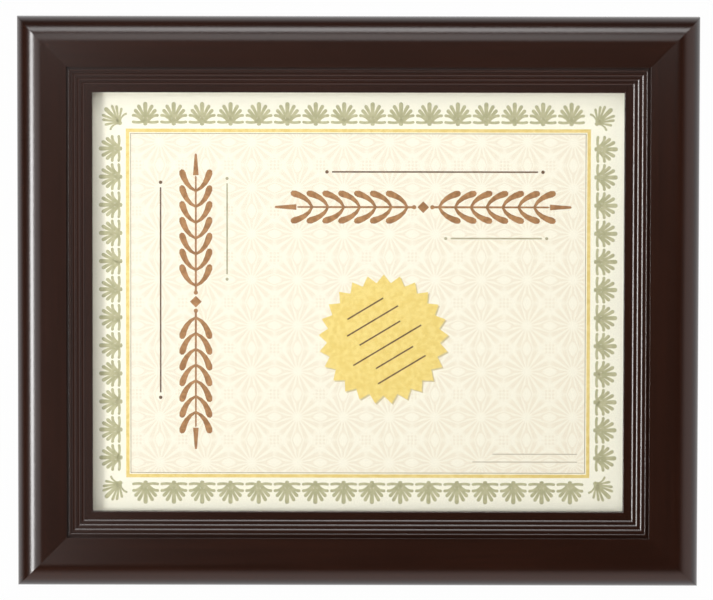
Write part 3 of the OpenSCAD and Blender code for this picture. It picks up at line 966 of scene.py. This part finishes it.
@dataclass
class Certificate(Assembly):
    """The printed sheet behind the glass: paper, border, rules, seal and leafy ornaments.

    The border's and rules' w and h are counted from the print's middle. Palmettes are drawn in units.
    """

    sheet_t: float = 0.22
    cockle: float = 0.01
    cockle_rate: Point = (0.07, 0.09)
    film: float = 0.01
    film_room: int = 6
    unit: float = 0.5095
    border_w: float = 120.7
    border_h: float = 91.6
    across_count: int = 16
    across_pitch: float = 14.33
    up_count: int = 12
    up_pitch: float = 14.24
    rule_w: float = 117.3
    rule_h: float = 88.4
    rule_t: float = 1.75
    fine_w: float = 115.1
    fine_h: float = 86.2
    fine_t: float = 0.45
    seal_at: Point = (12.9, -18.9)
    seal_tip: float = 32.9
    seal_root: float = 28.6
    seal_points: int = 25
    seal_shade_off: float = 0.7
    seal_lines: tuple[int, ...] = (21, 30, 24, 40, 22, 28)
    seal_line_pitch: float = 7.2
    seal_line_t: float = 0.75
    seal_turn: float = 31.0
    spray_w: float = 75.0
    spray_leaf: float = 11.0
    spray_gap: float = 8.0
    level_rule_t: float = 0.8
    rule_dot_gap: float = 2.5
    foot_line_t: float = 0.4

    @property
    def paper_top(self) -> float:
        """Height of the paper's printed face."""
        return SIZES.glass_z - self.film_room * self.film

    def printed(self, work: Workpiece, name: str, ink: Finish, layer: int) -> None:
        """Prints flat faces, drawn about the middle of the opening, onto the paper.

        Args:
            work: the flat faces.
            name: the piece's name.
            ink: the ink.
            layer: how many films it lies on, 0 for paper.
        """
        work.move(Matrix.Translation((SIZES.width / 2, SIZES.height / 2, 0)))
        work.print_on(self.paper_top + (layer + 1) * self.film, self.film)
        work.piece(name, [ink], Body.FRAME, Slot.PAPER)

    def sheet(self) -> None:
        """Builds the paper, very slightly cockled as paper is."""
        work = Workpiece()
        half_w = SIZES.width / 2 - SIZES.rabbet_edge - SIZES.rabbet_play
        half_h = SIZES.height / 2 - SIZES.rabbet_edge - SIZES.rabbet_play
        bmesh.ops.create_grid(work.bm, x_segments=40, y_segments=32, size=1.0, matrix=(
            Matrix.Translation((SIZES.width / 2, SIZES.height / 2, self.paper_top))
            @ Matrix.Diagonal((half_w, half_h, 1, 1))))
        made = work.raise_faces(work.bm.faces[:], Vector((0, 0, -self.sheet_t)))
        rate_x, rate_y = self.cockle_rate
        for vert in {v for f in made for v in f.verts}:
            vert.co.z -= self.cockle * (1 + math.sin(vert.co.x * rate_x) * math.cos(vert.co.y * rate_y))
        work.piece("certificate", [PAPER], Body.FRAME, Slot.PAPER, ("certificate_sheet",))

    def palmette(self, work: Workpiece, place: Matrix, corner: bool = False) -> None:
        """Adds one palmette of the border.

        Args:
            work: where it is drawn.
            place: takes it from its own axes, tip up, to the opening.
            corner: True for the fuller fan at a corner.
        """
        fan = Workpiece()
        fan.petal(PALMETTE_TIP)
        for side in (-1, 1):
            for leaf in CORNER_LEAVES if corner else PALMETTE_LEAVES:
                fan.petal(leaf.mirrored(side), 7)
        fan.disc((0, 1.2), 3.6, 2.9)
        fan.disc((0, -1.9), 2.1, 1.3)
        work.take(fan, place @ Matrix.Scale(self.unit, 4))

    def border(self) -> None:
        """Prints the palmette border."""
        work = Workpiece()
        lower = Matrix.Translation((0, -SIZES.print_drop, 0))
        for quarter in range(4):
            reach, count, pitch = ((self.border_w, self.up_count, self.up_pitch) if quarter % 2 else
                                   (self.border_h, self.across_count, self.across_pitch))
            for i in range(count):
                spot = Matrix.Translation(((i - (count - 1) / 2) * pitch, reach, 0))
                self.palmette(work, lower @ turned(90 * quarter) @ spot)
        for sx, sy, turn in ((1, 1, -45), (-1, 1, 45), (-1, -1, 135), (1, -1, -135)):
            spot = Matrix.Translation((sx * self.border_w, sy * self.border_h, 0))
            self.palmette(work, lower @ spot @ turned(turn), corner=True)
        self.printed(work, "palmette_border", OLIVE_INK, 0)

    def rules(self) -> None:
        """Prints the gold rule and the fine line inside it."""
        for name, half_w, half_h, width, ink in (
                ("gold_rule", self.rule_w, self.rule_h, self.rule_t, GOLD_INK),
                ("fine_rule", self.fine_w, self.fine_h, self.fine_t, FINE_INK)):
            work = Workpiece()
            work.ring(half_w, half_h, width)
            work.move(Matrix.Translation((0, -SIZES.print_drop, 0)))
            self.printed(work, name, ink, 0)

    def star(self, work: Workpiece, shift: Point) -> None:
        """Adds the seal's outline of many short points."""
        verts = work.disc((0, 0), 1, 1, 2 * self.seal_points)
        verts.sort(key=lambda v: math.atan2(v.co.y, v.co.x))
        for i, vert in enumerate(verts):
            vert.co *= self.seal_tip if i % 2 else self.seal_root
            vert.co += Vector((self.seal_at[0] + shift[0], self.seal_at[1] + shift[1], 0))

    def seal(self) -> None:
        """Prints the seal's shade, the gold seal over it, and slanting lines on that."""
        for name, ink, layer, off in (
                ("seal_shade", SEAL_SHADE, 0, self.seal_shade_off), ("gold_seal", SEAL_GOLD, 1, 0)):
            work = Workpiece()
            self.star(work, (off, -off))
            self.printed(work, name, ink, layer)
        lines = Workpiece()
        turn = math.radians(self.seal_turn)
        for i, length in enumerate(self.seal_lines):
            off = ((len(self.seal_lines) - 1) / 2 - i) * self.seal_line_pitch
            at = self.seal_at[0] - math.sin(turn) * off, self.seal_at[1] + math.cos(turn) * off
            lines.bar(at, length, self.seal_line_t, self.seal_turn)
        self.printed(lines, "seal_lines", BROWN_INK, 2)

    def laurel(self, work: Workpiece) -> None:
        """Adds a level spray of paired leaves, growing both ways from its middle."""
        leaf, gap, stem = self.spray_leaf, self.spray_gap, self.spray_w - self.spray_leaf
        pairs = int((stem - gap) / (leaf * 0.82)) + 1
        pitch = (stem - gap) / pairs
        stalk = Leaf((gap * 0.6, 0), (self.spray_w / 2, 0), (stem, 0), leaf * 0.05, leaf * 0.04)
        tip = Leaf((stem, 0), (self.spray_w - leaf / 2, 0), (self.spray_w, 0), leaf * 0.13, leaf * 0.05)
        for side in (-1, 1):
            work.petal(stalk.mirrored(side))
            work.petal(tip.mirrored(side), 6)
            for i in range(pairs):
                x = gap + i * pitch
                for way in (-1, 1):
                    one = Leaf((x, 0), (x + leaf * 0.22, way * leaf * 0.5), (x + leaf, way * leaf * 0.66),
                               leaf * 0.05, leaf * 0.17)
                    work.petal(one.mirrored(side), 6)

    def ended_rule(self, work: Workpiece, middle: Point, length: float, dot_r: float) -> None:
        """Adds a level rule with a dot beyond each end.

        Args:
            work: where it is drawn.
            middle: its middle.
            length: its length.
            dot_r: the dots' radius.
        """
        work.bar(middle, length, self.level_rule_t)
        for side in (-1, 1):
            work.disc((middle[0] + side * (length / 2 + self.rule_dot_gap), middle[1]), dot_r, dot_r)

    def ornaments(self) -> None:
        """Prints two plain leafy ornaments, one for each way of hanging, and two fine lines at the foot."""
        for name, at, turn in (("wide", (32.8, 48.0), 0), ("tall", (-82.0, 0.0), 90)):
            brown, bronze, sage = Workpiece(), Workpiece(), Workpiece()
            self.ended_rule(brown, (5.9, 17.8), 104, 0.9)
            self.ended_rule(sage, (36.9, -15.8), 46, 0.8)
            for side in (-1, 1):
                bronze.disc((side * 4.6, 0), 1.1, 1.1)
            bronze.bar((0, 0), 4.2, 4.2, 45)
            self.laurel(bronze)
            for part, work, ink in (
                    ("upper", brown, BROWN_INK), ("middle", bronze, BRONZE_INK), ("lower", sage, SAGE_INK)):
                work.move(Matrix.Translation((*at, 0)) @ turned(turn))
                self.printed(work, f"title_{name}_{part}", ink, 0)
        lines = Workpiece()
        for middle, length in (((89.5, -77.2), 42.8), ((84.5, -81.2), 53.0)):
            lines.bar(middle, length, self.foot_line_t)
        self.printed(lines, "foot_lines", FINE_INK, 0)

    def build(self) -> None:
        """Builds the sheet and all its printing."""
        self.sheet()
        self.border()
        self.rules()
        self.seal()
        self.ornaments()


@dataclass
class Glazing(Assembly):
    """The glass in front of the sheet, and the filler behind it."""

    def dress(self) -> None:
        """Dresses both nodes."""
        dress(GLASS, "glass_pane")
        dress(KRAFT, "filler_board")


@dataclass
class BackPanel(Assembly):
    """The backing board with the turn buttons and hangers round it."""

    board_arris: float = 0.3
    button_arris: float = 0.18

    def build(self) -> None:
        """Takes the arrises off the board and the buttons."""
        softened("backing_board", "back_board", self.board_arris, BACKING, Body.FRAME, Slot.BACKING)
        for body in Body:
            if body not in (Body.FRAME, Body.LEG):
                softened(f"turn_{body.value}", body.value, self.button_arris, BUTTON_STEEL, body, Slot.BUTTON)

    def dress(self) -> None:
        """Dresses the nodes that stay."""
        dress(BRIGHT, "turn_button_screws")
        dress(BRASSED, "landscape_hanger", "portrait_hanger", "hanger_nails")


@dataclass
class Easel(Assembly):
    """The leg and its hinge."""

    leg_arris: float = 0.4

    def build(self) -> None:
        """Takes the leg's arrises off."""
        softened("easel_leg", "stand_leg", self.leg_arris, LEG_BOARD, Body.LEG, Slot.LEG)

    def dress(self) -> None:
        """Dresses the hinge, its pin and its rivets."""
        dress(BRIGHT, "hinge_board_leaf", "hinge_leg_leaf", "hinge_pin")
        dress(BRASSED, "hinge_board_rivets", "hinge_leg_rivets")


# Studio


@dataclass(frozen=True)
class Room:
    """What lies round the object: what a gloss shows of it, and how it lights a matt surface."""

    dark_way: Triple = (-0.48, 0.47, 0.74)
    dark: Colour = (0.02, 0.02, 0.021, 1)
    warm: Colour = (1.22, 0.98, 0.93, 1)
    neutral: Colour = (0.98, 0.98, 0.99, 1)
    dim: Colour = (0.05, 0.05, 0.05, 1)
    back_light: Colour = (2.1, 2.1, 2.12, 1)

    def mirrored(self, recipe: Recipe, way: Wire) -> Wire:
        """What a gloss shows: dark before the face's upper left, warm round that, neutral behind the face.

        Args:
            recipe: the tree that asks.
            way: the direction that is looked in.

        Returns:
            The colour.
        """
        before = recipe.along(way, (0, 0, 1)).rise(-0.3, 0.0)
        pale = recipe.blend(before, self.neutral, self.warm)
        return recipe.blend(recipe.along(way, self.dark_way).rise(0.40, 0.0), self.dark, pale)

    def light(self, recipe: Recipe, way: Wire) -> Wire:
        """What the world sends: white to the camera, the mirrored room to a gloss, and to the rest a dim light.

        Args:
            recipe: the world's tree.
            way: the direction that is looked in.

        Returns:
            The colour.
        """
        camera, gloss, _ = recipe.first_looks()
        shown = self.mirrored(recipe, way)
        front = recipe.blend(0.5, self.dim, shown)
        soft = recipe.blend(recipe.along(way, (0, 0, 1)).rise(0.0, -0.35), front, self.back_light)
        return recipe.blend(camera, recipe.blend(gloss, soft, shown), (1, 1, 1, 1))


ROOM = Room()


@dataclass(frozen=True)
class Floor(Finish):
    """A pale sweep that shows white and keeps the shadow."""

    tone: Colour = (0.65, 0.65, 0.65, 1)
    glow_share: float = 0.98

    def paint(self, recipe: Recipe) -> Wire:
        """Matt paint to the light, almost all glow to the camera and through the glass, the room in a gloss."""
        paint = recipe.principled(Base_Color=self.tone, Roughness=0.8)
        glow = recipe.add("ShaderNodeEmission", sockets={"Color": (1, 1, 1, 1), "Strength": 1.0})
        incoming = recipe.add("ShaderNodeNewGeometry", out="Incoming")
        way = recipe.add("ShaderNodeVectorMath", {"operation": "SCALE"}, {0: incoming, "Scale": -1.0}, "Vector")
        room = recipe.add("ShaderNodeEmission", sockets={"Color": ROOM.mirrored(recipe, way), "Strength": 1.0})
        camera, gloss, through = recipe.first_looks()
        return recipe.mix(camera.larger(through) * self.glow_share, recipe.mix(gloss, paint, room), glow)


@dataclass(frozen=True)
class Lamp:
    """A soft oblong lamp before the face, aimed at its middle.

    It hangs so many metres off a point of the face, given in millimetres off the middle, at angles in
    degrees to the right of and above the face's axis. Its size is in metres. A radiance of 1 is white.
    """

    name: str
    distance: float
    start: Point
    size: Point
    radiance: float
    side: float = 0.0
    up: float = 0.0


@dataclass
class Studio:
    """Camera, lamps, floor and surroundings."""

    distance: float = 3.0
    above: float = 4.4
    roll: float = 0.1
    focal_px: float = 5957.0
    image_w: float = 713.0
    sensor: float = 36.0
    aim: Point = (-0.8, 1.8)
    gleam: float = 8.0
    floor_r: float = 14.0

    def off_face(self, side: float, up: float, distance: float, start: Point = (0, 0)) -> Vector:
        """A place in front of the face.

        Args:
            side: angle to the right of the face's axis, in degrees.
            up: angle above it.
            distance: how far, in metres.
            start: the point of the face it is counted from, in millimetres off its middle.

        Returns:
            The place, in the standing frame.
        """
        a, b = math.radians(side), math.radians(up)
        way = Vector((math.sin(a) * math.cos(b), math.sin(b), math.cos(a) * math.cos(b))) * distance / MM
        return SIZES.spot(start[0] + way.x, start[1] + way.y, SIZES.rail_d + way.z)

    def facing(self, place: Vector, target: Vector) -> Matrix:
        """A matrix at a place that looks at a target along its own -Z, upright as the frame is."""
        z = (place - target).normalized()
        x = SIZES.way(0, 1, 0).cross(z).normalized()
        turn = Matrix((x, z.cross(x), z)).transposed()
        return Matrix.Translation(place) @ turn.to_4x4()

    def camera(self) -> None:
        """Sets the camera where the photograph was taken from."""
        lens = bpy.data.cameras.new("camera")
        lens.sensor_width = self.sensor
        lens.lens = self.focal_px * self.sensor / self.image_w
        lens.clip_start, lens.clip_end = 0.05, 60
        camera = put("camera", lens)
        look = self.facing(self.off_face(0, self.above, self.distance), self.off_face(0, 0, 0, self.aim))
        camera.matrix_world = look @ turned(self.roll)
        bpy.context.scene.camera = camera

    def hang(self, lamp: Lamp) -> None:
        """Hangs a lamp."""
        light = bpy.data.lights.new(lamp.name, "AREA")
        light.shape = "RECTANGLE"
        light.size, light.size_y = lamp.size
        light.energy = lamp.radiance * math.pi * lamp.size[0] * lamp.size[1]
        place = self.off_face(lamp.side, lamp.up, lamp.distance, lamp.start)
        put(lamp.name, light).matrix_world = self.facing(place, self.off_face(0, 0, 0))

    def lamps(self) -> None:
        """Hangs a far strip and a near panel for the gleam along the left rail, and as many for the top one's."""
        x, y = self.gleam - SIZES.width / 2, SIZES.height / 2 - self.gleam
        for lamp in (Lamp("left_strip", 4.0, (x, -307), (1.0, 0.86), radiance=37.0, side=-42.8),
                     Lamp("top_strip", 4.0, (0, y), (1.1, 1.5), radiance=8.2, up=54.2),
                     Lamp("left_panel", 0.53, (x, -38), (0.3, 0.42), radiance=1.65, side=-18.6),
                     Lamp("top_panel", 0.524, (0, y), (0.46, 0.29), radiance=2.25, up=17.0)):
            self.hang(lamp)

    def surroundings(self) -> None:
        """Makes the world show and light as the room does."""
        world = bpy.data.worlds.new("studio")
        bpy.context.scene.world = world
        recipe = Recipe(world)
        colour = ROOM.light(recipe, recipe.add("ShaderNodeTexCoord", out="Generated"))
        light = recipe.add("ShaderNodeBackground", sockets={"Color": colour, "Strength": 1.0})
        recipe.end("ShaderNodeOutputWorld", light)

    def floor(self) -> None:
        """Lays the floor."""
        work = Workpiece()
        work.disc((0, 0), self.floor_r, self.floor_r, 64)
        mesh = work.mesh("floor")
        mesh.materials.append(Floor("floor_paint").material())
        put("floor", mesh)

    def build(self) -> None:
        """Sets up everything round the object."""
        bpy.context.scene.view_settings.view_transform = "Standard"
        self.camera()
        self.lamps()
        self.surroundings()
        self.floor()


def main() -> None:
    """Builds the studio and then the sub-assemblies in order."""
    logging.basicConfig(level=logging.INFO, format="%(name)s: %(message)s")
    Studio().build()
    for assembly in (Moulding(), Certificate(), Glazing(), BackPanel(), Easel()):
        assembly.build()
        assembly.dress()


if __name__ == "__main__":
    main()
